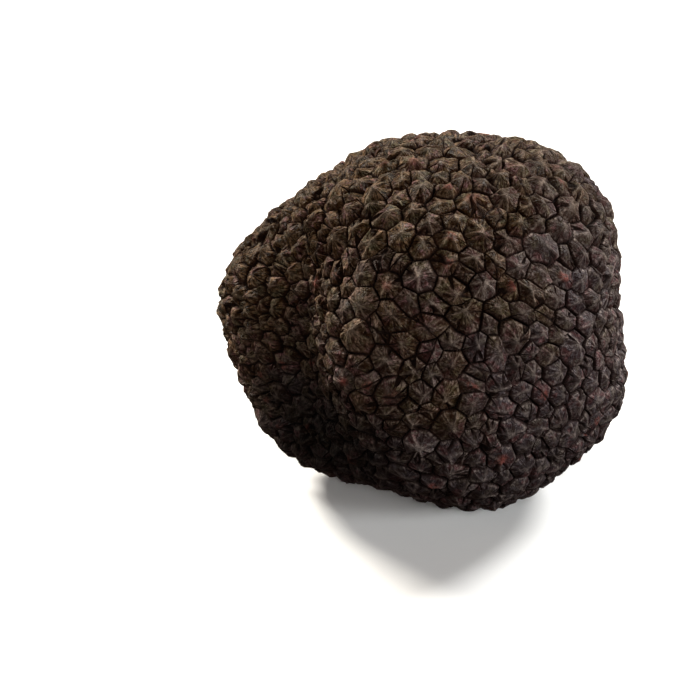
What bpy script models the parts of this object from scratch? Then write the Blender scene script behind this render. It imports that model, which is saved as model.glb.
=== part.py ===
"""A whole black truffle, about 68 mm wide, lying on a small flat spot.

It is one natural piece: a lumpy round body whose rind has grown into about nine
hundred low, many-sided pyramids, the warts, with narrow grooves between them.

Run it with: blender --background --python part.py
"""

import math
import random

import bmesh
import bpy
from mathutils import Vector

MM = 0.001

# The body under its warts is a round with these half sizes along X, Y and Z.
HALF_SIZES = (31.0 * MM, 29.5 * MM, 29.5 * MM)

# Broad swells (+) and hollows (-) on that round, named as seen from the front (-Y).
# Azimuth (0 is the front, 90 the right side), elevation and spread are in degrees.
SWELLS = {
    # place: (azimuth, elevation, spread, height)
    "right shoulder": (102, 41, 33, 4.2 * MM),
    "right waist": (88, 6, 21, -2.0 * MM),
    "right heel": (86, -22, 22, 3.6 * MM),
    "lower right belly": (40, -43, 28, 2.9 * MM),
    "left lobe": (-91, 8, 25, 2.4 * MM),
    "left lobe's front": (-74, 12, 17, 1.2 * MM),
    "back of the left slope": (-118, 52, 26, -1.7 * MM),
    "hollow under the left": (-25, -58, 22, -1.9 * MM),
    "left foot": (-75, -41, 22, 2.2 * MM),
    "top of the left valley": (-51, 28, 17, -3.2 * MM),
    "middle of the left valley": (-47, 8, 18, -3.2 * MM),
    "foot of the left valley": (-43, -14, 22, -3.8 * MM),
    "left cheek": (-20, 12, 20, 1.6 * MM),
    "brow over the left valley": (-144, 60, 17, 1.3 * MM),
    "top right shoulder": (122, 48, 12, 0.6 * MM),
    "front face": (-6, 28, 34, 1.2 * MM),
    "back hollow": (-153, -8, 32, -2.0 * MM),
    "back hump": (150, -28, 30, 1.4 * MM),
}

# The flat spot is this far below the body's middle, which stands over the origin
# by these amounts, so that the origin is under the middle of the whole truffle.
REST_DEPTH = 27.5 * MM
BODY_CENTRE = Vector((0.6 * MM, 0.7 * MM, REST_DEPTH))

# Warts: their number, and how far each strays from even spacing, in spacings.
WART_COUNT = 900
SCATTER = 0.36
SCATTER_SEED = 12
SHORTEST_SIDE = 0.45 * MM

# The warts crowd towards one side: its azimuth and elevation, how many degrees round
# it they do, and the share of their way to its middle that they are drawn in.
CROWDED_SIDE = (-72, 12)
CROWDED_SPREAD = 50
CROWDING = 0.26

# Heights over the body's surface. A wart's tip rises from its shoulder by a share of
# its width, give or take a spread, and stands off its middle by another share.
GROOVE_HEIGHT = -0.72 * MM
SHOULDER_HEIGHT = -0.10 * MM
TIP_RISE = 0.20
TIP_RISE_SPREAD = 0.05
TIP_STRAY = 0.14

# Wider warts have a shoulder round their top; narrower ones are plain points.
SHOULDERED_WIDTH = 4.1 * MM
SHOULDER_INSET = 0.42 * MM

MEAN_RADIUS = sum(HALF_SIZES) / 3


def direction(azimuth, elevation):
    """The unit vector at an azimuth from the front and an elevation, in degrees."""
    around, up = math.radians(azimuth), math.radians(elevation)
    level = math.cos(up)
    return Vector((math.sin(around) * level, -math.cos(around) * level, math.sin(up)))


SWELL_SHAPES = [
    (direction(azimuth, elevation), math.radians(spread), height)
    for azimuth, elevation, spread, height in SWELLS.values()
]


def body_reach(way):
    """How far the body's surface is from its middle, along a unit vector."""
    flattened = Vector(w / half for w, half in zip(way, HALF_SIZES))
    reach = 1.0 / flattened.length
    for middle, spread, height in SWELL_SHAPES:
        reach += height * math.exp(-((way.angle(middle) / spread) ** 2))
    return reach


def wart_sites(draw):
    """Unit vectors spread over a sphere along a golden spiral, strayed and then crowded."""
    turn = math.pi * (3.0 - math.sqrt(5.0))
    stray = SCATTER * math.sqrt(4.0 * math.pi / WART_COUNT)
    crowded = direction(*CROWDED_SIDE)
    sites = []
    for number in range(WART_COUNT):
        height = 1.0 - (2.0 * number + 1.0) / WART_COUNT
        level = math.sqrt(1.0 - height * height)
        site = Vector((level * math.cos(turn * number), level * math.sin(turn * number), height))
        site += stray * Vector([draw.gauss(0.0, 0.6) for _ in range(3)])
        site.normalize()
        nearness = math.exp(-((site.angle(crowded) / math.radians(CROWDED_SPREAD)) ** 2))
        sites.append(site.slerp(crowded, CROWDING * nearness))
    return sites


def wart_outlines(sites):
    """A mesh on the unit sphere with one many-sided face for each site.

    The sites' hull is a net of triangles. Poking it puts a corner in each triangle,
    turning the net's edges joins those corners, and dissolving the sites leaves the
    outlines.
    """
    outlines = bmesh.new()
    centres = [outlines.verts.new(site) for site in sites]
    bmesh.ops.convex_hull(outlines, input=centres)
    bmesh.ops.recalc_face_normals(outlines, faces=outlines.faces)
    net = list(outlines.edges)
    bmesh.ops.poke(outlines, faces=outlines.faces)
    bmesh.ops.rotate_edges(outlines, edges=net)
    bmesh.ops.dissolve_verts(outlines, verts=centres)
    for corner in outlines.verts:
        corner.co.normalize()
    bmesh.ops.remove_doubles(outlines, verts=outlines.verts, dist=SHORTEST_SIDE / MEAN_RADIUS)
    return outlines


def width_of(outline):
    """The diameter of a round of the same area as a wart's outline, at full size."""
    return 2.0 * math.sqrt(outline.calc_area() / math.pi) * MEAN_RADIUS


def place_tips(outlines, draw):
    """For each outline, the unit vector that its tip stands on, and the tip's height."""
    tips = []
    for outline in outlines:
        width = width_of(outline)
        stray = Vector([draw.uniform(-1.0, 1.0) for _ in range(3)])
        way = outline.calc_center_median() + stray * TIP_STRAY * width / MEAN_RADIUS
        rise = TIP_RISE + draw.uniform(-1.0, 1.0) * TIP_RISE_SPREAD
        tips.append((way.normalized(), SHOULDER_HEIGHT + rise * width))
    return tips


def raise_warts(warts, draw):
    """Give each outline a tip, and a shoulder too if it is wide, then lift them all."""
    height = warts.verts.layers.float.new("height")
    for corner in warts.verts:
        corner[height] = GROOVE_HEIGHT
    outlines = list(warts.faces)
    tips = place_tips(outlines, draw)
    wide = [outline for outline in outlines if width_of(outline) > SHOULDERED_WIDTH]
    bmesh.ops.inset_individual(warts, faces=wide, thickness=SHOULDER_INSET / MEAN_RADIUS)
    for top in wide:
        for corner in top.verts:
            corner[height] = SHOULDER_HEIGHT
    points = bmesh.ops.poke(warts, faces=outlines)["verts"]
    for point, (way, rise) in zip(points, tips):
        point.co = way
        point[height] = rise
    for vert in warts.verts:
        way = vert.co.normalized()
        vert.co = way * (body_reach(way) + vert[height])


def press_flat_spot(truffle):
    """Flatten what reaches below the level of the flat spot."""
    for vert in truffle.verts:
        vert.co.z = max(vert.co.z, -REST_DEPTH)


def rind_material():
    material = bpy.data.materials.new("Truffle rind")
    material.use_nodes = True
    shader = material.node_tree.nodes["Principled BSDF"]
    shader.inputs["Base Color"].default_value = (0.040, 0.031, 0.026, 1.0)
    shader.inputs["Roughness"].default_value = 0.72
    shader.inputs["Metallic"].default_value = 0.0
    return material


def make_truffle(collection):
    truffle = wart_outlines(wart_sites(random.Random(SCATTER_SEED)))
    raise_warts(truffle, random.Random(SCATTER_SEED + 1))
    press_flat_spot(truffle)
    bmesh.ops.triangulate(truffle, faces=truffle.faces)
    bmesh.ops.translate(truffle, verts=truffle.verts, vec=BODY_CENTRE)
    mesh = bpy.data.meshes.new("truffle")
    truffle.to_mesh(mesh)
    truffle.free()
    mesh.materials.append(rind_material())
    thing = bpy.data.objects.new("truffle", mesh)
    collection.objects.link(thing)
    return thing


def main():
    for thing in list(bpy.data.objects):
        bpy.data.objects.remove(thing)
    collection = bpy.data.collections.new("Black truffle")
    bpy.context.scene.collection.children.link(collection)
    make_truffle(collection)


main()
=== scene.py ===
"""The looks of a whole black truffle: the fine skin of its warts, in a plain studio.

The skin grows by the same rule as the solid under it: the same lumpy body, the same
wart outlines and the same tips. Each flank of a wart is then cut into rows of small
triangles, which carry the steep groove walls, rounded shoulders, creases, cracks and
folds. Each wart also has a tint and a plan of its own, which the finish reads.
"""

import math
import random

import bmesh
import bpy
import numpy as np
from mathutils import Matrix, Vector, noise


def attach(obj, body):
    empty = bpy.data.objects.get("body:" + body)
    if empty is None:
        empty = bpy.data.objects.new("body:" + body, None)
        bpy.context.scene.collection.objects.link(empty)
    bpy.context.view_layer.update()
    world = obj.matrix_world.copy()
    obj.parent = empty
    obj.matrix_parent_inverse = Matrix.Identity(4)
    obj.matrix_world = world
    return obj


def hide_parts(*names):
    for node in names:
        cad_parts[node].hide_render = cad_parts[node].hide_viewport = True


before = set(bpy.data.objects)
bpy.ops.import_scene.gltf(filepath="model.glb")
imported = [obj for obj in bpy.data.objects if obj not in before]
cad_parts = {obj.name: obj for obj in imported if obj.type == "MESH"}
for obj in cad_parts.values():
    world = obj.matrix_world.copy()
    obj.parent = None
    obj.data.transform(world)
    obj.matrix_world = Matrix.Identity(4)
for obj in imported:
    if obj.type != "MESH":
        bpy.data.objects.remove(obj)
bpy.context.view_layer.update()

MM = 0.001

# ---- The body and its warts, as in the solid ----

HALF_SIZES = (31.0 * MM, 29.5 * MM, 29.5 * MM)
SWELLS = {
    # place: (azimuth, elevation, spread, height)
    "right shoulder": (102, 41, 33, 4.2 * MM),
    "right waist": (88, 6, 21, -2.0 * MM),
    "right heel": (86, -22, 22, 3.6 * MM),
    "lower right belly": (40, -43, 28, 2.9 * MM),
    "left lobe": (-91, 8, 25, 2.4 * MM),
    "left lobe's front": (-74, 12, 17, 1.2 * MM),
    "back of the left slope": (-118, 52, 26, -1.7 * MM),
    "hollow under the left": (-25, -58, 22, -1.9 * MM),
    "left foot": (-75, -41, 22, 2.2 * MM),
    "top of the left valley": (-51, 28, 17, -3.2 * MM),
    "middle of the left valley": (-47, 8, 18, -3.2 * MM),
    "foot of the left valley": (-43, -14, 22, -3.8 * MM),
    "left cheek": (-20, 12, 20, 1.6 * MM),
    "brow over the left valley": (-144, 60, 17, 1.3 * MM),
    "top right shoulder": (122, 48, 12, 0.6 * MM),
    "front face": (-6, 28, 34, 1.2 * MM),
    "back hollow": (-153, -8, 32, -2.0 * MM),
    "back hump": (150, -28, 30, 1.4 * MM),
}
REST_DEPTH = 27.5 * MM
BODY_CENTRE = Vector((0.6 * MM, 0.7 * MM, REST_DEPTH))
WART_COUNT = 900
SCATTER = 0.36
SCATTER_SEED = 12
SHORTEST_SIDE = 0.45 * MM
CROWDED_SIDE = (-72, 12)
CROWDED_SPREAD = 50
CROWDING = 0.26
GROOVE_HEIGHT = -0.72 * MM
SHOULDER_HEIGHT = -0.10 * MM
TIP_RISE = 0.20
TIP_RISE_SPREAD = 0.05
TIP_STRAY = 0.14
MEAN_RADIUS = sum(HALF_SIZES) / 3

# ---- The fine skin ----

# Each flank, from a groove up to the tip, has this many rows of triangles. The first
# rows stand close to the groove and make its wall, whose foot and top are this far from
# the groove's middle, but no further than these shares of the way to the tip. Then how
# far up the wall each row is, and how far on from the wall's top to the tip.
ROWS = 6
WALL_FOOT = 0.08 * MM
WALL_TOP = 0.21 * MM
FURTHEST_FOOT = 0.16
FURTHEST_TOP = 0.36
WALL_RISE = np.array([0.0, 0.42, 0.86, 1.0, 1.0, 1.0, 1.0])
TOP_SPACING = np.array([0.0, 0.0, 0.0, 0.22, 0.48, 0.76, 1.0])
SKIN_SEED = 41

# Grooves are narrower and wider than usual by these factors. They wobble sideways, and
# they are shallower and deeper by turns, both over such lengths.
GROOVE_WIDTHS = (0.5, 1.7)
WOBBLE = 0.30 * MM
WOBBLE_LENGTH = 2.0 * MM
GROOVE_VARIETY = 1.0
GROOVE_DEPTHS = (0.3, 1.35)
GROOVE_STRETCH = 2.6 * MM

# The three directions of a wobble are read from one noise, this many lengths apart.
STRAY_SHIFTS = (11.3, 47.9, 83.1)

# Each top's shape: how bulged its flanks are (1 is straight), its lift and its tilt.
BULGE = (0.75, 1.2)
WART_LIFT = 0.20 * MM
WART_TILT = 0.12

# Creases: how high the spokes and how low the middles of the flanks lie between them.
CREASE = 0.46 * MM
SPOKE_CREASES = (-0.2, 1.0)
FLANK_CREASES = (-1.0, 0.3)

# Streaks run out from the tip, and grain lies all over.
STREAK = 0.20 * MM
STREAK_PACE = 3.4
WART_APART = 90.0
GRAIN = 0.24 * MM
GRAIN_LENGTH = 1.1 * MM

# How creases and streaks fade: their share at the rim or the tip, and how fast it grows.
CREASE_FROM_RIM = (0.35, 2.0)
STREAK_FROM_RIM = (0.4, 3.0)
STREAK_FROM_TIP = (0.0, 3.0)

# The skin is crumpled on this side (azimuth and elevation), less and less so for this
# many degrees round it, into upright folds of this height and width.
CRUMPLED_SIDE = (-58, 25)
CRUMPLED_SPREAD = 42
CRUMPLE = 0.21 * MM
FOLD_WIDTH = 0.9 * MM
FOLD_STRETCH = 2.2
FOLD_SHARPNESS = 4.0

# The warts are flatter, by up to this share, on this side and round it.
FLAT_SIDE = (52, -18)
FLAT_SPREAD = 46
FLATTENING = 0.38

# Cracks: the share of spokes, of flanks and of whole warts that are cracked, and how far
# up a spoke or a flank a crack reaches, where 1 is the tip.
SPOKE_CRACKS = 0.24
FLANK_CRACKS = 0.17
SPLIT_WARTS = 0.14
SPOKE_CRACK_REACH = (0.4, 1.0)
FLANK_CRACK_REACH = (0.4, 0.85)
FLANK_CRACK_PLACE = (0.3, 0.7)
SPLIT_REACH = 1.1
SPLIT_TIP_REACH = 1.2
CRACK_DEPTH = 0.50 * MM
SHALLOWEST_CRACK = 0.3
CRACK_LIP = 0.15 * MM

# Shorter lengths than these are not divided by.
LEAST_SIDE = 0.01 * MM
LEAST_FROM_TIP = 0.05 * MM
LEAST_REACH = 0.01

# How open a spot is, 1 on a top and 0 in a groove or crack, and how much of a crest.
# The finish paints shade where a spot is less open: painted shade in grooves and cracks.
GROOVE_SHADE = 1.3
GROOVE_LIGHT = 0.1
CRACK_SHADE = 1.4
CREST_START = 0.3

# Where the skin bends more than this, as along a groove's rim, the edge stays crisp.
SHARPEST_BEND = math.radians(24.0)

# One unit of the plan of a wart, kept for its finish.
PLAN_UNIT = 10.0 * MM

# ---- The finish ----

BROWN_RIND = (0.100, 0.057, 0.020, 1.0)
PLUM_RIND = (0.060, 0.047, 0.049, 1.0)
OLIVE_RIND = (0.084, 0.068, 0.030, 1.0)
ROSE_RIND = (0.112, 0.046, 0.044, 1.0)
# Crests and rims paled by wear and painted highlight.
PALE_CREASE = (0.340, 0.240, 0.160, 1.0)
GREY_CREASE = (0.285, 0.225, 0.200, 1.0)
RUSTY_TIP = (0.330, 0.075, 0.055, 1.0)
# Painted shade in grooves and cracks: red-brown down their sides, near black at the bottom.
GROOVE_SIDE = (0.036, 0.012, 0.004, 1.0)
PLUM_GROOVE_SIDE = (0.028, 0.013, 0.011, 1.0)
GROOVE = (0.013, 0.0045, 0.0015, 1.0)
PLUM_GROOVE = (0.010, 0.005, 0.004, 1.0)

# Markings: each one's lumps to the metre, finer layers and roughness.
PATCHES = (60.0, 3.0, 0.6)
STAINS = (420.0, 3.0, 0.6)
MOTTLE = (1250.0, 2.0, 0.6)
GRIT = (2600.0, 3.0, 0.7)
WANDER = (450.0, 1.0, 0.5)

# Streaks and hairlines are drawn on each wart's own plan. How many run round a wart for
# each radian, how many times they change over one plan unit outwards, how far they
# wander, and how far apart in the noise two warts are.
STREAKS = 4.2
STREAK_LENGTHS = 6.0
STREAK_WANDER = 3.0
TINT_APART = 40.0
STREAK_LAYERS = (1.0, 3.0, 0.65)
HAIRLINES = (0.8, 2.0, 0.5)

# Where each marking starts and where it is full, in the noise that it is read from.
OLIVE_EDGES = (0.52, 0.62)
ROSE_EDGES = (0.47, 0.37)
RIB_EDGES = (0.36, 0.62)
RAISED_EDGES = (0.36, 0.64)
PIT_EDGES = (0.48, 0.36)
SPECK_EDGES = (0.54, 0.68)
CRACKED_EDGES = (0.42, 0.52)
HAIRLINE_EDGES = (0.05, 0.0)
HAIRLINE_MIDDLE = 0.5
LIP_MIDDLE = 0.58
RIM_EDGES = (0.45, 0.0)
UPPER_EDGES = (0.35, 0.95)
SUNK_EDGES = (0.0, 0.4)
DARK_EDGES = (0.28, 0.75)

# How strong the ribs are on any wart, and how much more so on odd and on brown ones.
RIB_STRENGTH = 0.4
RIB_ODDNESS = 0.5
RIB_WARMTH = 0.4

# How strong the stains are on plum rind and on brown rind.
OLIVE_STAINS = (0.25, 0.90)
ROSE_STAINS = (0.65, 0.55)

# How far each layer covers the rind under it.
WEAR_AND_HIGHLIGHT_COVER = 0.9
RUSTY_COVER = 0.8
SUNK_COVER = 0.8
DARK_COVER = 0.95

# The brightness of the rind at the least and at the most of each marking.
RAISED_TONES = (0.45, 1.25)
RIB_TONES = (0.22, 1.67)
WART_TONES = (0.85, 1.20)
PIT_TONES = (1.0, 0.4)
SPECK_TONES = (1.0, 2.2)
RIM_LIGHT_AND_SHADE_TONES = (-0.25, 0.55)
TOP_TONE = 0.9
LEAST_TONE = 0.05
HAIRLINE_TONES = (1.0, 0.2)
LIP_TONES = (1.0, 1.9)

# The brightest parts of the rind are this many times its plain colour, and its darkest
# parts are redder by this share. Where it is brown, they are less blue, and the
# brightest parts are paler.
BRIGHTEST = 2.8
DARK_RED = 1.2
DARK_BLUE_LOSS = 0.8
BRIGHT_BLUE_GAIN = 0.45

# The rims of the warts carry a painted highlight, palest on the side that faces this way,
# and the crests are paled by wear and painted highlight. A rim starts and ends at these
# parts of the climb to the tip, and is broken up by the hairlines.
UPPER_SIDE = (0.0, 0.45, 0.89)
RIM_START = (0.0, 0.03)
RIM_END = (0.18, 0.06)
RIM_BREAKS = (0.42, 0.62)
HIGHLIT_UPPER = (0.45, 0.9)
HIGHLIT_RIMS = (0.45, 1.45)
WORN_AND_HIGHLIT_CRESTS = (0.5, 1.2)
WEAR_AND_HIGHLIGHT_GRIT = 4.0
WEAR_AND_HIGHLIGHT_START = 1.7

# Rusty tips: how near the tip, on how odd a wart, and in which parts of the mottle.
RUSTY_CLIMB = (0.4, 0.95)
RUSTY_ODDNESS = (0.075, 0.035)
RUSTY_MOTTLE = (0.58, 0.76)

# The rind is browner towards the top and the left, and more plum the other way. Patches
# and each wart's own warmth shift where it turns.
SUNNY_SIDE = (-12.0, 0.0, 16.0)
SUNNY_EDGES = (0.87, 1.80)
PATCH_SHIFT = 1.2
WART_SHIFT = 0.3

# Painted light and shade: towards the left and the top its markings are starker and
# brighter, standing in for raking light there: their contrast and brightness at the least
# and at the most of it.
PAINTED_LIGHT_SIDE = (-26.0, 0.0, 12.0)
PAINTED_LIGHT_EDGES = (0.0, 1.1)
PAINTED_LIGHT_CONTRAST = (1.0, 1.5)
PAINTED_LIGHT_TONES = (0.98, 1.56)

# Painted shade: it darkens below this height, down to a share at the ground, and a
# painted shadow darkens round the foot of the valley: from full shade this near to none
# this far away.
DARKENS_BELOW = 27.0 * MM
DARK_FOOT = 0.42
VALLEY_FOOT = (-16.5 * MM, -20.0 * MM, 15.5 * MM)
VALLEY_SHADE = (5.0 * MM, 20.0 * MM)
DARK_VALLEY = 0.25

# How much of each marking the bump takes, and how dull the rind is.
RIB_BUMP = 0.32
RAISED_BUMP = 0.14
GRIT_BUMP = 0.38
HAIRLINE_BUMP = -0.16
LIP_BUMP = 0.06
WARM_BUMP = (0.8, 1.7)
BUMP_HEIGHT = 1.0 * MM
DULLNESS = 0.5
MOTTLED_DULLNESS = 0.5
GROOVE_DULLNESS = 0.4
RIND_GLOSS = 0.08

# ---- The studio ----

FLOOR_HALF_SIZE = 50.0
FLOOR_WHITE = (0.9, 0.9, 0.9, 1.0)
FLOOR_GREY = (0.86, 0.86, 0.85, 1.0)
FLOOR_UNEVENNESS = 0.01
FLOOR_LUMPS = 3.0
FLOOR_DULLNESS = 0.7
FLOOR_GLOSS = 0.2
CAMERA_ELEVATION = 25.0
CAMERA_DISTANCE = 0.310
CAMERA_LENS = 100.0
SENSOR_WIDTH = 36.0
NEAREST_SEEN = 10.0 * MM
AIM_LEFT = 14.3 * MM
AIM_BELOW = 3.6 * MM
WORLD_STRENGTH = 0.05
WORLD_COLOUR = (1.0, 0.50, 0.32, 1.0)
BACKDROP_COLOUR = (1.0, 1.0, 1.0, 1.0)
LIGHT_SPREAD = math.radians(15.0)
CREAM = (1.0, 0.95, 0.86)
IVORY = (1.0, 1.0, 0.97)
WHITE = (1.0, 1.0, 1.0)
COOL_WHITE = (0.97, 1.0, 1.0)
LAMPS = {
    # name: (azimuth, elevation, strength, colour)
    "back left": (-135.0, 32.0, 6.8, CREAM),
    "back right": (135.0, 32.0, 4.7, IVORY),
    "low right": (80.0, 10.0, 2.8, COOL_WHITE),
    "front right": (45.0, 32.0, 0.56, COOL_WHITE),
    "front": (0.0, 32.0, 0.64, WHITE),
    "front left": (-45.0, 10.0, 0.45, IVORY),
    "low left": (-100.0, 8.0, 0.75, CREAM),
}


def direction(azimuth, elevation):
    """The unit vector at an azimuth from the front and an elevation, in degrees."""
    around, up = math.radians(azimuth), math.radians(elevation)
    level = math.cos(up)
    return Vector((math.sin(around) * level, -math.cos(around) * level, math.sin(up)))


def body_reach(ways):
    """How far the body's surface is from its middle, along each of many unit vectors."""
    reach = 1.0 / np.linalg.norm(ways / np.array(HALF_SIZES), axis=1)
    for azimuth, elevation, spread, height in SWELLS.values():
        turned = np.clip(ways @ np.array(direction(azimuth, elevation)), -1.0, 1.0)
        reach += height * np.exp(-((np.arccos(turned) / math.radians(spread)) ** 2))
    return reach


def wart_sites(draw):
    """Unit vectors spread over a sphere along a golden spiral, strayed and then crowded."""
    turn = math.pi * (3.0 - math.sqrt(5.0))
    stray = SCATTER * math.sqrt(4.0 * math.pi / WART_COUNT)
    crowded = direction(*CROWDED_SIDE)
    sites = []
    for number in range(WART_COUNT):
        height = 1.0 - (2.0 * number + 1.0) / WART_COUNT
        level = math.sqrt(1.0 - height * height)
        site = Vector((level * math.cos(turn * number), level * math.sin(turn * number), height))
        site += stray * Vector([draw.gauss(0.0, 0.6) for _ in range(3)])
        site.normalize()
        nearness = math.exp(-((site.angle(crowded) / math.radians(CROWDED_SPREAD)) ** 2))
        sites.append(site.slerp(crowded, CROWDING * nearness))
    return sites


def wart_outlines(sites):
    """A mesh on the unit sphere with one many-sided face for each site."""
    outlines = bmesh.new()
    centres = [outlines.verts.new(site) for site in sites]
    bmesh.ops.convex_hull(outlines, input=centres)
    bmesh.ops.recalc_face_normals(outlines, faces=outlines.faces)
    net = list(outlines.edges)
    bmesh.ops.poke(outlines, faces=outlines.faces)
    bmesh.ops.rotate_edges(outlines, edges=net)
    bmesh.ops.dissolve_verts(outlines, verts=centres)
    for corner in outlines.verts:
        corner.co.normalize()
    bmesh.ops.remove_doubles(outlines, verts=outlines.verts, dist=SHORTEST_SIDE / MEAN_RADIUS)
    return outlines


def place_tips(outlines, draw):
    """For each outline, the unit vector that its tip stands on, and the tip's height."""
    tips = []
    for outline in outlines:
        width = 2.0 * math.sqrt(outline.calc_area() / math.pi) * MEAN_RADIUS
        stray = Vector([draw.uniform(-1.0, 1.0) for _ in range(3)])
        way = outline.calc_center_median() + stray * TIP_STRAY * width / MEAN_RADIUS
        rise = TIP_RISE + draw.uniform(-1.0, 1.0) * TIP_RISE_SPREAD
        tips.append((way.normalized(), SHOULDER_HEIGHT + rise * width))
    return tips


class Flanks:
    """Every flank of every wart: the triangle between one side of its outline and its tip.

    Each has the numbers of its wart and of its two spokes, the lines up its outline's
    corners to the tip, which it shares with the flanks beside it.
    """

    def __init__(self, net, wart, tips):
        spokes = {}
        self.wart, self.spoke, self.corner = [], [], []
        for face in net.faces:
            first, second = (loop.vert for loop in tip_last(face)[:2])
            ends = [
                spokes.setdefault((face[wart], vert.index), len(spokes)) for vert in (first, second)
            ]
            self.wart.append(face[wart])
            self.spoke.append(ends)
            self.corner.append((first.co.normalized(), second.co.normalized()))
        self.wart = np.array(self.wart)
        self.spoke = np.array(self.spoke)
        self.corner = np.array(self.corner)
        self.spoke_count = len(spokes)
        self.tip = np.array([way for way, _ in tips])
        self.tip_height = np.array([height for _, height in tips])
        self.reach = self.reach_of_warts()

    def reach_of_warts(self):
        """For each wart, the usual distance from its tip to its sides."""
        side = self.corner[:, 1] - self.corner[:, 0]
        out = self.tip[self.wart] - self.corner[:, 0]
        across = np.linalg.norm(np.cross(side, out), axis=1) / np.linalg.norm(side, axis=1)
        total = np.bincount(self.wart, across)
        return total / np.bincount(self.wart) * MEAN_RADIUS


def tip_last(face):
    """A flank's loops, turned so that the one at the tip comes last."""
    loops = list(face.loops)
    while not loops[2].vert.tag:
        loops.append(loops.pop(0))
    return loops


def cut_net():
    """The mesh of all flanks on the unit sphere, cut into rows, and the flanks it came from."""
    net = wart_outlines(wart_sites(random.Random(SCATTER_SEED)))
    wart = net.faces.layers.int.new("wart")
    flank = net.faces.layers.int.new("flank")
    place = net.loops.layers.uv.new("place")
    outlines = list(net.faces)
    tips = place_tips(outlines, random.Random(SCATTER_SEED + 1))
    for number, outline in enumerate(outlines):
        outline[wart] = number
    for vert in net.verts:
        vert.tag = False
    points = bmesh.ops.poke(net, faces=outlines)["verts"]
    for point, (way, _) in zip(points, tips):
        point.co = way
        point.tag = True
    net.verts.index_update()
    flanks = Flanks(net, wart, tips)
    for number, face in enumerate(net.faces):
        face[flank] = number
        for loop, spot in zip(tip_last(face), ((0, 0), (1, 0), (0, 1))):
            loop[place].uv = spot
    bmesh.ops.subdivide_edges(net, edges=net.edges, cuts=ROWS - 1, use_grid_fill=True)
    mesh = bpy.data.meshes.new("truffle_skin")
    net.to_mesh(mesh)
    net.free()
    return mesh, flanks


class Points:
    """Where each point, or each corner of a triangle, stands on its flank."""

    def __init__(self, flanks, flank, place):
        self.flank = flank
        self.wart = flanks.wart[flank]
        self.row = np.rint(place[:, 1] * ROWS).astype(int)
        self.step = np.rint(place[:, 0] * ROWS).astype(int)
        self.steps = ROWS - self.row


def read_net(mesh, flanks):
    """The mesh's points, its triangles' corners, and each corner's point."""
    corners = len(mesh.loops)
    point = np.empty(corners, np.int32)
    mesh.loops.foreach_get("vertex_index", point)
    place = np.empty(corners * 2, np.float32)
    mesh.uv_layers["place"].data.foreach_get("uv", place)
    flank = np.empty(len(mesh.polygons), np.int32)
    mesh.attributes["flank"].data.foreach_get("value", flank)
    place = place.reshape(-1, 2)
    flank = np.repeat(flank, 3)
    first = np.unique(point, return_index=True)[1]
    return Points(flanks, flank[first], place[first]), Points(flanks, flank, place), point


class Cracks:
    """How far from the groove towards the tip each spoke, and each flank, is cracked."""

    def __init__(self, flanks, draw):
        self.spoke = self.some(flanks.spoke_count, SPOKE_CRACKS, SPOKE_CRACK_REACH, draw)
        self.flank = self.some(len(flanks.wart), FLANK_CRACKS, FLANK_CRACK_REACH, draw)
        self.along = draw.uniform(*FLANK_CRACK_PLACE, len(flanks.wart))
        self.split = draw.random(len(flanks.tip)) < SPLIT_WARTS
        self.split_through(flanks, draw)

    @staticmethod
    def some(count, share, reach, draw):
        """Crack a share of many lines, each as far as drawn, and leave the rest whole."""
        return np.where(draw.random(count) < share, draw.uniform(*reach, count), 0.0)

    def split_through(self, flanks, draw):
        """Crack the split warts right across, up one spoke and down the one opposite."""
        for wart in np.flatnonzero(self.split):
            own = np.flatnonzero(flanks.wart == wart)
            out = flanks.corner[own, 0] - flanks.tip[wart]
            out /= np.linalg.norm(out, axis=1)[:, None]
            near = draw.integers(len(own))
            far = np.argmin(out @ out[near])
            self.spoke[flanks.spoke[own[[near, far]], 0]] = SPLIT_REACH


def noise_at(places, scale):
    """Smooth noise, from -1 to 1, at each place, with lumps about as long as the scale."""
    return np.array([noise.noise(Vector(place) / scale) for place in places])


def stray_at(places, scale):
    """Smooth noise in three directions at each place, and the same in every run."""
    return np.stack([noise_at(places + scale * shift, scale) for shift in STRAY_SHIFTS], axis=1)


def nearness(ways, side, spread):
    """1 towards a side (azimuth and elevation), falling smoothly to 0 round it."""
    turned = np.clip(ways @ np.array(direction(*side)), -1.0, 1.0)
    return np.exp(-((np.arccos(turned) / math.radians(spread)) ** 2))


def fade(values, start, pace):
    """A share that grows from a start, at a pace, as the values do, up to 1."""
    return np.minimum(1.0, start + pace * values)


def hat(values):
    """1 in the middle of a flank, falling evenly to 0 on its spokes."""
    return 1.0 - np.abs(2.0 * values - 1.0)


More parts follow.
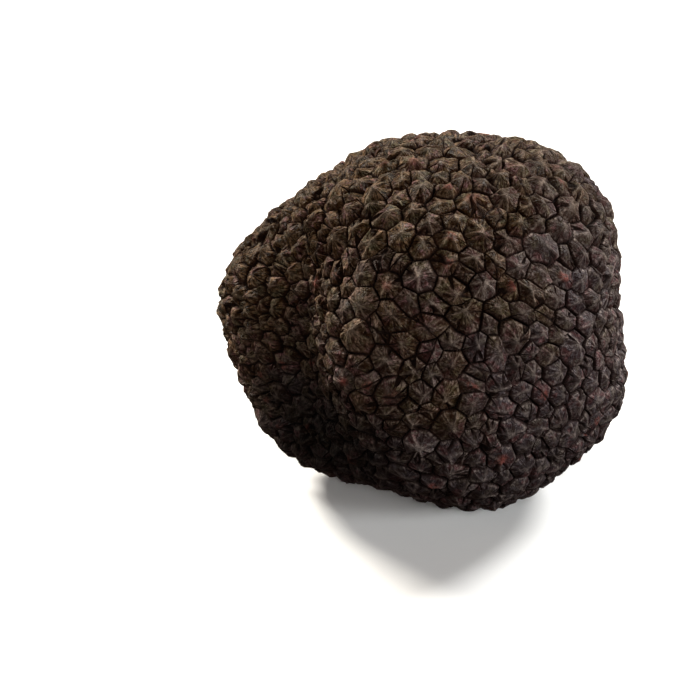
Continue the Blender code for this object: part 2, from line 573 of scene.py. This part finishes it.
class Skin:
    """The fine skin's points: which way each lies, how high, and how it is marked."""

    def __init__(self, points, flanks, draw):
        self.points, self.flanks, self.draw = points, flanks, draw
        self.cracks = Cracks(flanks, draw)
        self.place_across()
        self.place_along()
        self.place_ways()
        self.raise_points()

    def place_across(self):
        """Set each row's share of the way from the groove to the tip, and its climb."""
        points = self.points
        reach = self.flanks.reach[points.wart]
        width = self.draw.uniform(*GROOVE_WIDTHS, len(self.flanks.wart))[points.flank]
        foot = np.minimum(WALL_FOOT * width, FURTHEST_FOOT * reach)
        top = np.minimum(WALL_TOP * width, FURTHEST_TOP * reach)
        out = np.where(points.row == 1, foot, top + (reach - top) * TOP_SPACING[points.row])
        out = np.where(points.row == 0, 0.0, out)
        self.share = out / reach
        self.climb = np.clip((out - top) / (reach - top), 0.0, 1.0)

    def place_along(self):
        """Step the points evenly along their rows, and gather them closely round cracks."""
        points, cracks = self.points, self.cracks
        step, steps = points.step, np.maximum(points.steps, 1)
        between = steps > 1
        along = step / steps
        corner = self.flanks.corner[points.flank]
        side = np.linalg.norm(corner[:, 1] - corner[:, 0], axis=1) * MEAN_RADIUS
        lip = CRACK_LIP / np.maximum(side * (1.0 - self.share), LEAST_SIDE)
        ends = self.flanks.spoke[points.flank]
        reached = [cracks.spoke[ends[:, end]] > self.share for end in (0, 1)]
        after = reached[0] & (step == 1) & between
        along = np.where(after, np.minimum(along, lip), along)
        before = reached[1] & (step == steps - 1) & between
        along = np.where(before, np.maximum(along, 1.0 - lip), along)
        middle = cracks.along[points.flank]
        nearest = np.clip(np.rint(middle * steps), 1, np.maximum(steps - 1, 1))
        cracked = (cracks.flank[points.flank] > self.share) & (points.row > 0) & between
        inner = cracked & (step > 0) & (step < steps)
        for offset in (-1, 0, 1):
            along = np.where(inner & (step == nearest + offset), middle + offset * lip, along)
        self.along = np.clip(along, 0.0, 1.0)
        at_ends = [reached[0] & (step == 0), reached[1] & (step == points.steps)]
        on_tip = (points.row == ROWS) & cracks.split[points.wart]
        self.crack_reach = np.select(
            [on_tip, *at_ends, inner & (step == nearest)],
            [
                SPLIT_TIP_REACH,
                cracks.spoke[ends[:, 0]],
                cracks.spoke[ends[:, 1]],
                cracks.flank[points.flank],
            ],
            0.0,
        )

    def place_ways(self):
        """The unit vector of each point from the body's middle, with the wobble."""
        points, flanks = self.points, self.flanks
        corner = flanks.corner[points.flank]
        along, share = self.along[:, None], self.share[:, None]
        base = corner[:, 0] * (1.0 - along) + corner[:, 1] * along
        ways = base * (1.0 - share) + flanks.tip[points.wart] * share
        ways += WOBBLE / MEAN_RADIUS * stray_at(ways * MEAN_RADIUS, WOBBLE_LENGTH)
        self.ways = ways / np.linalg.norm(ways, axis=1)[:, None]

    def raise_points(self):
        """The height of each point over the body: groove, wall, creased flank and tip."""
        top = self.tops()
        deep = noise_at(self.ways * MEAN_RADIUS, GROOVE_STRETCH)
        deep = np.clip(1.0 + GROOVE_VARIETY * deep, *GROOVE_DEPTHS)
        groove = GROOVE_HEIGHT * deep
        wall = WALL_RISE[self.points.row]
        height = groove + (top - groove) * wall
        depth = self.crack_depth() * wall
        self.height = np.maximum(height - depth, np.minimum(height, groove))
        # How much painted shade the finish puts here: more low on deep groove walls and in cracks.
        shade = np.clip(GROOVE_SHADE * deep - GROOVE_LIGHT, 0.0, 1.0)
        self.open = 1.0 - (1.0 - wall) * shade
        self.open *= 1.0 - np.clip(depth / CRACK_DEPTH * CRACK_SHADE, 0.0, 1.0)
        self.mark_crests()

    def tops(self):
        """The height that each point's wart would have there with no grooves or cracks."""
        points, flanks, draw = self.points, self.flanks, self.draw
        warts, count = len(flanks.tip), len(flanks.wart)
        bulge = draw.uniform(*BULGE, warts)[points.wart]
        lift = draw.uniform(-1.0, 1.0, warts)[points.wart] * WART_LIFT
        tilt = draw.normal(0.0, WART_TILT, (warts, 3))[points.wart]
        self.spoke_crease = draw.uniform(*SPOKE_CREASES, flanks.spoke_count) * CREASE
        middle = draw.uniform(*FLANK_CREASES, count) * CREASE

        from_tip = (self.ways - flanks.tip[points.wart]) * MEAN_RADIUS
        rise = flanks.tip_height[points.wart] - SHOULDER_HEIGHT
        relief = 1.0 - FLATTENING * nearness(self.ways, FLAT_SIDE, FLAT_SPREAD)
        top = SHOULDER_HEIGHT + rise * self.climb**bulge * relief
        top += (lift + (from_tip * tilt).sum(axis=1)) * relief
        ends = flanks.spoke[points.flank]
        first, second = (self.spoke_crease[ends[:, end]] for end in (0, 1))
        crease = first * np.clip(1.0 - 2.0 * self.along, 0.0, 1.0)
        crease += second * np.clip(2.0 * self.along - 1.0, 0.0, 1.0)
        crease += middle[points.flank] * hat(self.along)
        top += crease * relief * (1.0 - self.climb) * fade(self.climb, *CREASE_FROM_RIM)
        return top + self.streaks(from_tip) + self.grain_and_folds()

    def streaks(self, from_tip):
        """Low ridges that run out from each tip."""
        far = np.maximum(np.linalg.norm(from_tip, axis=1), LEAST_FROM_TIP)
        around = from_tip / far[:, None]
        # Which way round its wart each point lies; the finish paints highlight and shade on rims by
        # it.
        self.upper = np.clip(0.5 + 0.5 * (around @ np.array(UPPER_SIDE)), 0.0, 1.0)
        own = self.flanks.tip[self.points.wart] * WART_APART
        streak = STREAK * noise_at(around * STREAK_PACE + own, 1.0)
        from_ends = fade(1.0 - self.climb, *STREAK_FROM_TIP) * fade(self.climb, *STREAK_FROM_RIM)
        return streak * from_ends

    def grain_and_folds(self):
        """Fine lumps all over, and upright folds on the crumpled side."""
        places = self.ways * MEAN_RADIUS
        upright = places / np.array([1.0, 1.0, FOLD_STRETCH])
        fold = 1.0 - FOLD_SHARPNESS * np.abs(noise_at(upright, FOLD_WIDTH))
        fold *= CRUMPLE * nearness(self.ways, CRUMPLED_SIDE, CRUMPLED_SPREAD)
        return GRAIN * noise_at(places, GRAIN_LENGTH) + fold

    def crack_depth(self):
        """How deep the crack is that each point lies in, or 0."""
        passed = self.share / np.maximum(self.crack_reach, LEAST_REACH)
        depth = CRACK_DEPTH * np.sqrt(np.clip(1.0 - passed, 0.0, 1.0))
        depth = np.maximum(depth, SHALLOWEST_CRACK * CRACK_DEPTH)
        return np.where(self.crack_reach > self.share, depth, 0.0)

    def mark_crests(self):
        """Mark the points on raised spokes and on tips."""
        points = self.points
        at_first = points.step == 0
        on_crest = at_first | (points.step == points.steps)
        ends = self.flanks.spoke[points.flank]
        raised = self.spoke_crease[np.where(at_first, ends[:, 0], ends[:, 1])] / CREASE
        self.crest = np.where(on_crest, np.clip(CREST_START + raised, 0.0, 1.0), 0.0) * self.open
        self.crest = np.where(points.row == ROWS, self.open, self.crest)


def store_marks(mesh, skin, corners, point, flanks, draw):
    """Keep what the finish needs: marks, each wart's tint, and a plan of each wart."""
    marks = np.stack([skin.open, skin.crest, skin.climb, skin.upper], axis=1)
    layer = mesh.color_attributes.new("marks", "FLOAT_COLOR", "POINT")
    layer.data.foreach_set("color", marks.ravel())
    tint = draw.random((len(flanks.tip), 4))[corners.wart]
    layer = mesh.color_attributes.new("tint", "FLOAT_COLOR", "CORNER")
    layer.data.foreach_set("color", tint.ravel())
    tip = flanks.tip
    east = np.cross(tip, draw.normal(size=tip.shape))
    east /= np.linalg.norm(east, axis=1)[:, None]
    north = np.cross(tip, east)
    out = (skin.ways[point] - tip[corners.wart]) * MEAN_RADIUS / PLAN_UNIT
    plan = [(out * axis[corners.wart]).sum(axis=1) for axis in (east, north)]
    plan_map = mesh.uv_layers.new(name="wart_plan")
    plan_map.data.foreach_set("uv", np.stack(plan, axis=1).ravel())


def make_skin():
    """The truffle's fine skin, a closed mesh that rests on the flat spot."""
    mesh, flanks = cut_net()
    draw = np.random.default_rng(SKIN_SEED)
    points, corners, point = read_net(mesh, flanks)
    skin = Skin(points, flanks, draw)
    places = skin.ways * (body_reach(skin.ways) + skin.height)[:, None] + np.array(BODY_CENTRE)
    places[:, 2] = np.maximum(places[:, 2], 0.0)
    mesh.vertices.foreach_set("co", places.ravel())
    store_marks(mesh, skin, corners, point, flanks, draw)
    mesh.uv_layers.remove(mesh.uv_layers["place"])
    mesh.shade_smooth()
    mesh.set_sharp_from_angle(angle=SHARPEST_BEND)
    mesh.update()
    piece = bpy.data.objects.new("truffle_skin", mesh)
    bpy.context.scene.collection.objects.link(piece)
    return piece


# ---- Finishes ----


class Signal:
    """A value that varies over a surface. Arithmetic on it adds Math nodes."""

    def __init__(self, finish, socket):
        self.finish, self.socket = finish, socket

    def __add__(self, other):
        return self.finish.maths("ADD", self, other)

    def __sub__(self, other):
        return self.finish.maths("SUBTRACT", self, other)

    def __mul__(self, other):
        return self.finish.maths("MULTIPLY", self, other)

    def __pow__(self, other):
        return self.finish.maths("POWER", self, other)

    def __rsub__(self, other):
        return self.finish.maths("SUBTRACT", other, self)

    def __abs__(self):
        return self.finish.maths("ABSOLUTE", self)

    def clamped(self):
        return self.finish.maths("ADD", self, 0.0, clamp=True)

    def at_most(self, limit):
        return self.finish.maths("MINIMUM", self, limit)

    def between(self, least, most):
        """The first value where this is 0, the second where it is 1."""
        return self * (most - least) + least

    def step(self, low, high):
        """0 below the low value, 1 above the high one, and a smooth climb between."""
        settings = {"interpolation_type": "SMOOTHSTEP"}
        inputs = {"Value": self, "From Min": low, "From Max": high}
        return self.finish.signal("ShaderNodeMapRange", settings, inputs)


class Finish:
    """A material built from nodes round a Principled BSDF."""

    def __init__(self, name):
        self.material = bpy.data.materials.new(name)
        self.material.use_nodes = True
        self.tree = self.material.node_tree
        self.shader = self.tree.nodes["Principled BSDF"]
        self.where = self.node("ShaderNodeTexCoord").outputs["Object"]

    def feed(self, socket, value):
        if isinstance(value, Signal):
            value = value.socket
        if isinstance(value, bpy.types.NodeSocket):
            self.tree.links.new(value, socket)
        else:
            socket.default_value = value

    def finish_with(self, name, value):
        """Feed one of the surface's own sockets."""
        self.feed(self.shader.inputs[name], value)

    def node(self, kind, settings=None, inputs=None):
        made = self.tree.nodes.new(kind)
        for name, value in (settings or {}).items():
            setattr(made, name, value)
        for name, value in (inputs or {}).items():
            self.feed(made.inputs[name], value)
        return made

    def signal(self, kind, settings=None, inputs=None, output=0):
        return Signal(self, self.node(kind, settings, inputs).outputs[output])

    def maths(self, operation, first, second=0.0, clamp=False):
        settings = {"operation": operation, "use_clamp": clamp}
        return self.signal("ShaderNodeMath", settings, {0: first, 1: second})

    def vector(self, operation, first, second=(0.0, 0.0, 0.0), output="Vector", **inputs):
        named = {0: first, 1: second, **inputs}
        return self.node("ShaderNodeVectorMath", {"operation": operation}, named).outputs[output]

    def toward(self, side):
        """How far each place lies towards a side. A longer side makes it grow faster."""
        return Signal(self, self.vector("DOT_PRODUCT", self.where, side, output="Value"))

    def noise(self, vector, scale, detail=2.0, roughness=0.5):
        inputs = {"Vector": vector, "Scale": scale, "Detail": detail, "Roughness": roughness}
        return self.signal("ShaderNodeTexNoise", {}, inputs)

    def mix(self, share, under, over, blend="MIX"):
        """One colour over another, by a share from 0 to 1."""
        settings = {"data_type": "RGBA", "blend_type": blend}
        return self.node("ShaderNodeMix", settings, {0: share, 6: under, 7: over}).outputs[2]

    def colour_of(self, red, green, blue):
        inputs = {0: red, 1: green, 2: blue}
        return self.node("ShaderNodeCombineColor", {}, inputs).outputs[0]

    def attribute(self, name, output="Color"):
        return self.node("ShaderNodeAttribute", {"attribute_name": name}).outputs[output]

    def parts(self, name):
        """A colour attribute's three values."""
        split = self.node("ShaderNodeSeparateColor", {}, {"Color": self.attribute(name)})
        return [Signal(self, split.outputs[index]) for index in range(3)]


class Rind(Finish):
    """Dry blackish brown rind: tinted warts, creases paled by wear and painted highlight, and
    painted shade in the grooves and cracks.
    """

    def __init__(self):
        super().__init__("Truffle rind")
        self.open_share, self.crest, self.climb = self.parts("marks")
        self.upper = Signal(self, self.attribute("marks", "Alpha"))
        self.warmth, self.paleness, self.oddness = self.parts("tint")
        self.read_markings()
        # Painted shade in the grooves and cracks, from how shut each spot is.
        shut = 1.0 - self.open_share
        sunk, dark = shut.step(*SUNK_EDGES), shut.step(*DARK_EDGES)

        colour = self.mix(1.0, self.plain_colour(), self.tones(), "MULTIPLY")
        # Painted highlight on the rims, and wear with painted highlight on the crests.
        pale = self.by_side(GREY_CREASE, PALE_CREASE)
        colour = self.mix(self.wear_and_highlight() * WEAR_AND_HIGHLIGHT_COVER, colour, pale)
        colour = self.mix(self.rusty() * RUSTY_COVER, colour, RUSTY_TIP)
        # Painted shade: red-brown down the groove sides, near black in their bottoms and in cracks.
        colour = self.mix(sunk * SUNK_COVER, colour, self.by_side(PLUM_GROOVE_SIDE, GROOVE_SIDE))
        colour = self.mix(dark * DARK_COVER, colour, self.by_side(PLUM_GROOVE, GROOVE))
        # Painted shade towards the ground and a painted shadow round the valley's foot darken the
        # colour.
        self.finish_with("Base Color", self.mix(1.0, colour, self.painted_shade(), "MULTIPLY"))

        self.shader.inputs["Specular IOR Level"].default_value = RIND_GLOSS
        dull = (self.mottle - 0.5) * MOTTLED_DULLNESS + DULLNESS + dark * GROOVE_DULLNESS
        self.finish_with("Roughness", dull.clamped())
        self.finish_with("Normal", self.bump())

    def read_markings(self):
        """The noises over the whole rind, and the streaks on each wart's own plan."""
        self.mottle = self.noise(self.where, *MOTTLE)
        self.grit = self.noise(self.where, *GRIT)
        self.raised = self.mottle.step(*RAISED_EDGES)
        self.warm = self.warm_share()

        plan = self.own_plan()
        self.streaks = self.noise(plan, *STREAK_LAYERS)
        self.lines = self.noise(plan, *HAIRLINES)
        strength = self.oddness * RIB_ODDNESS + self.warm * RIB_WARMTH + RIB_STRENGTH
        self.ribbed = (self.streaks.step(*RIB_EDGES) - 0.5) * strength + 0.5
        cracked = self.mottle.step(*CRACKED_EDGES)
        self.hairline = abs(self.lines - HAIRLINE_MIDDLE).step(*HAIRLINE_EDGES) * cracked
        self.lip = abs(self.lines - LIP_MIDDLE).step(*HAIRLINE_EDGES) * cracked

    def warm_share(self):
        """1 where the rind is brown, 0 where it is plum."""
        shift = self.noise(self.where, *PATCHES) * PATCH_SHIFT + self.warmth * WART_SHIFT
        return (self.toward(SUNNY_SIDE) + shift).step(*SUNNY_EDGES)

    def own_plan(self):
        """Where each spot is on its wart: round it, outwards, and by which wart it is."""
        plan = self.node("ShaderNodeUVMap", {"uv_map": "wart_plan"}).outputs["UV"]
        far = Signal(self, self.vector("LENGTH", plan, output="Value")) * STREAK_LENGTHS
        around = self.vector("SCALE", self.vector("NORMALIZE", plan), Scale=STREAKS)
        own = self.vector("SCALE", self.attribute("tint"), Scale=TINT_APART)
        wander = self.noise(self.where, *WANDER) * STREAK_WANDER
        shift = self.node("ShaderNodeCombineXYZ", {}, {"X": wander, "Y": wander, "Z": far})
        return self.vector("ADD", self.vector("ADD", around, own), shift.outputs[0])

    def by_side(self, plum, brown):
        """A colour that is one where the rind is plum and another where it is brown."""
        return self.mix(self.warm, plum, brown)

    def plain_colour(self):
        """Plum to brown, with olive and rose stains."""
        stains = self.noise(self.where, *STAINS)
        olive = stains.step(*OLIVE_EDGES) * self.warm.between(*OLIVE_STAINS)
        rose = stains.step(*ROSE_EDGES) * self.warm.between(*ROSE_STAINS)
        colour = self.by_side(PLUM_RIND, BROWN_RIND)
        return self.mix(rose, self.mix(olive, colour, OLIVE_RIND), ROSE_RIND)

    def brightness(self):
        """How bright the rind is, in shares of its plain colour, with painted light and shade on
        the wart rims and towards the left and the top.
        """
        pits, specks = self.grit.step(*PIT_EDGES), self.grit.step(*SPECK_EDGES)
        bright = self.raised.between(*RAISED_TONES) * self.ribbed.between(*RIB_TONES)
        bright = bright * self.paleness.between(*WART_TONES)
        bright = bright * pits.between(*PIT_TONES) * specks.between(*SPECK_TONES)
        # Painted highlight on the rims' upper sides, and painted shade on their lower sides.
        upper = self.upper.step(*UPPER_EDGES)
        rim = self.climb.step(*RIM_EDGES) * upper.between(*RIM_LIGHT_AND_SHADE_TONES)
        bright = bright * (rim + TOP_TONE) + LEAST_TONE
        bright = bright * self.hairline.between(*HAIRLINE_TONES) * self.lip.between(*LIP_TONES)
        # Painted light: starker and brighter towards the left and the top.
        painted_light = self.toward(PAINTED_LIGHT_SIDE).step(*PAINTED_LIGHT_EDGES)
        bright = bright ** painted_light.between(*PAINTED_LIGHT_CONTRAST) * (painted_light**2.0).between(*PAINTED_LIGHT_TONES)
        return bright.at_most(BRIGHTEST)

    def tones(self):
        """The brightness as a colour: its dark redder, and its light paler where brown."""
        bright = self.brightness()
        dim = (1.0 - bright).clamped() ** 2.0
        blue = (bright - 1.0).clamped() * BRIGHT_BLUE_GAIN - dim * DARK_BLUE_LOSS
        return self.colour_of(
            bright * (dim * DARK_RED + 1.0), bright, bright * (blue * self.warm + 1.0)
        )

    def wear_and_highlight(self):
        """Where crests and rims are painted pale: crests by wear and painted highlight, rims by
        painted highlight, most on the sides that face up.
        """
        rims = self.climb.step(*RIM_START) * self.climb.step(*RIM_END)
        rims = rims * self.lines.step(*RIM_BREAKS)
        rims = rims * self.upper.step(*HIGHLIT_UPPER).between(*HIGHLIT_RIMS)
        crests = self.crest**2.0 * self.climb.between(*WORN_AND_HIGHLIT_CRESTS)
        patchiness = self.grit * WEAR_AND_HIGHLIGHT_GRIT + self.streaks - WEAR_AND_HIGHLIGHT_START
        return (crests + rims).clamped() * patchiness.clamped()

    def rusty(self):
        """The tips of a few odd warts."""
        tips = self.climb.step(*RUSTY_CLIMB) * self.oddness.step(*RUSTY_ODDNESS)
        return tips * (self.mottle + self.grit * 0.5).step(*RUSTY_MOTTLE)

    def painted_shade(self):
        """Painted shade towards the ground, and a painted shadow round the foot of the valley."""
        above = self.toward((0.0, 0.0, 1.0 / DARKENS_BELOW)).clamped()
        away = Signal(self, self.vector("DISTANCE", self.where, VALLEY_FOOT, output="Value"))
        unshaded = above.between(DARK_FOOT, 1.0) * away.step(*VALLEY_SHADE).between(DARK_VALLEY, 1.0)
        return self.colour_of(unshaded, unshaded, unshaded)

    def bump(self):
        """The relief that is too fine for the mesh, stronger where the rind is brown."""
        height = self.ribbed * RIB_BUMP + self.raised * RAISED_BUMP + self.grit * GRIT_BUMP
        height = height + self.hairline * HAIRLINE_BUMP + self.lip * LIP_BUMP
        height = height * self.warm.between(*WARM_BUMP)
        inputs = {"Strength": 1.0, "Distance": BUMP_HEIGHT, "Height": height}
        return self.node("ShaderNodeBump", {}, inputs).outputs["Normal"]


def floor_finish():
    """Plain pale floor, with the faintest unevenness."""
    floor = Finish("Pale floor")
    shade = floor.noise(floor.where, FLOOR_LUMPS) * FLOOR_UNEVENNESS
    floor.finish_with("Base Color", floor.mix(shade, FLOOR_WHITE, FLOOR_GREY))
    floor.shader.inputs["Roughness"].default_value = FLOOR_DULLNESS
    floor.shader.inputs["Specular IOR Level"].default_value = FLOOR_GLOSS
    return floor.material


# ---- Floor, lamps and camera ----


def make_floor():
    """A floor so wide that no view shows its edge."""
    made = bmesh.new()
    bmesh.ops.create_grid(made, x_segments=1, y_segments=1, size=FLOOR_HALF_SIZE)
    mesh = bpy.data.meshes.new("floor")
    made.to_mesh(mesh)
    made.free()
    mesh.materials.append(floor_finish())
    floor = bpy.data.objects.new("floor", mesh)
    bpy.context.scene.collection.objects.link(floor)
    # The floor catches the truffle's shadow, but sends no light up to its underside.
    floor.visible_diffuse = False
    floor.visible_glossy = False


def facing(place, aim):
    """A turn and a place that point a camera or light, which looks down -Z, at a point."""
    turn = (Vector(aim) - Vector(place)).to_track_quat("-Z", "Y").to_matrix().to_4x4()
    return Matrix.Translation(place) @ turn


def make_light(name, azimuth, elevation, power, colour):
    """A wide, far lamp, so soft and as bright all over the floor."""
    light = bpy.data.lights.new(name, "SUN")
    light.angle = LIGHT_SPREAD
    light.energy = power
    light.color = colour
    lamp = bpy.data.objects.new(name, light)
    lamp.matrix_world = facing(BODY_CENTRE + direction(azimuth, elevation), BODY_CENTRE)
    bpy.context.scene.collection.objects.link(lamp)


def make_world():
    """Dim warm light from all round, and a pale backdrop beyond the floor."""
    world = bpy.data.worlds.new("Studio")
    world.use_nodes = True
    tree = world.node_tree
    glow = tree.nodes["Background"]
    glow.inputs["Color"].default_value = WORLD_COLOUR
    glow.inputs["Strength"].default_value = WORLD_STRENGTH
    backdrop = tree.nodes.new("ShaderNodeBackground")
    backdrop.inputs["Color"].default_value = BACKDROP_COLOUR
    either = tree.nodes.new("ShaderNodeMixShader")
    tree.links.new(tree.nodes.new("ShaderNodeLightPath").outputs["Is Camera Ray"], either.inputs[0])
    tree.links.new(glow.outputs[0], either.inputs[1])
    tree.links.new(backdrop.outputs[0], either.inputs[2])
    tree.links.new(either.outputs[0], tree.nodes["World Output"].inputs["Surface"])
    bpy.context.scene.world = world


def make_camera():
    """The front view, a little from above, with the truffle right of the middle."""
    camera = bpy.data.objects.new("camera", bpy.data.cameras.new("camera"))
    camera.data.lens = CAMERA_LENS
    camera.data.sensor_width = SENSOR_WIDTH
    camera.data.clip_start = NEAREST_SEEN
    back = direction(0.0, CAMERA_ELEVATION)
    right = Vector((1.0, 0.0, 0.0))
    up = back.cross(right)
    aim = BODY_CENTRE - right * AIM_LEFT - up * AIM_BELOW
    camera.matrix_world = facing(BODY_CENTRE + back * CAMERA_DISTANCE, aim)
    bpy.context.scene.collection.objects.link(camera)
    bpy.context.scene.camera = camera


skin = make_skin()
skin.data.materials.append(Rind().material)
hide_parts("truffle")
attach(skin, "root")

make_floor()
make_world()
for name, settings in LAMPS.items():
    make_light(name, *settings)
make_camera()
bpy.context.scene.view_settings.view_transform = "Standard"
